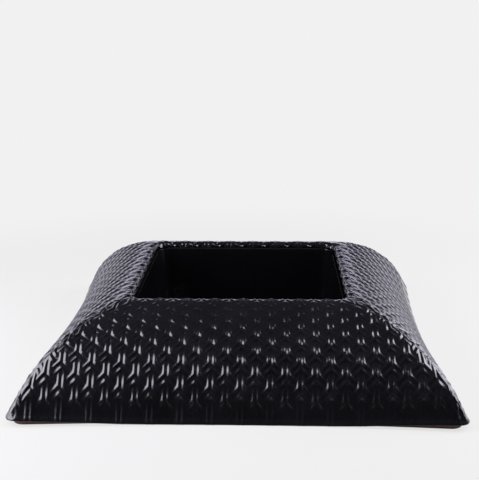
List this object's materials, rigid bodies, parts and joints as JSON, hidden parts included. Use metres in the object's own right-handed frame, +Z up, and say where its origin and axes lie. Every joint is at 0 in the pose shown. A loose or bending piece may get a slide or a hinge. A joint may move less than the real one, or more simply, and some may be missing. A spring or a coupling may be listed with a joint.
{
  "type": "flower pot",
  "caption": "Low square flower pot with convex embossed black sides, a rolled rim, a brown base board and a smooth lift-out liner with a drain plug.",
  "frame": {"origin": "on the ground under the middle of the pot", "axes": "+Z up; -Y is the front side in the picture; the pot's four sides lie along X and Y"},
  "size_m": [0.4, 0.4, 0.086],
  "materials": {
    "embossed_resin": "satin gloss black with a raised interlocking pattern",
    "gloss_liner": "smooth high gloss black",
    "brown_board": "brown hardboard, matt",
    "plywood": "bare birch plywood",
    "screw_steel": "zinc plated",
    "plug_rubber": "matt black rubber"
  },
  "bodies": {
    "cover": {"base_board": "brown_board", "front_well_board": "plywood", "right_well_board": "plywood", "back_well_board": "plywood", "left_well_board": "plywood", "front_ribs": "plywood", "right_ribs": "plywood", "back_ribs": "plywood", "left_ribs": "plywood", "front_right_hip": "plywood", "back_right_hip": "plywood", "back_left_hip": "plywood", "front_left_hip": "plywood", "base_screws": "screw_steel", "front_panel": "embossed_resin", "right_panel": "embossed_resin", "back_panel": "embossed_resin", "left_panel": "embossed_resin"},
    "liner": {"liner": "gloss_liner"},
    "plug": {"drain_plug": "plug_rubber"}
  },
  "joints": [
    {"name": "liner_lift", "type": "slide", "parent": "cover", "child": "liner", "axis": [0, 0, 1], "range_m": [0, 0.09]},
    {"name": "plug_pull", "type": "slide", "parent": "liner", "child": "plug", "axis": [0, 0, 1], "range_m": [0, 0.085]}
  ]
}
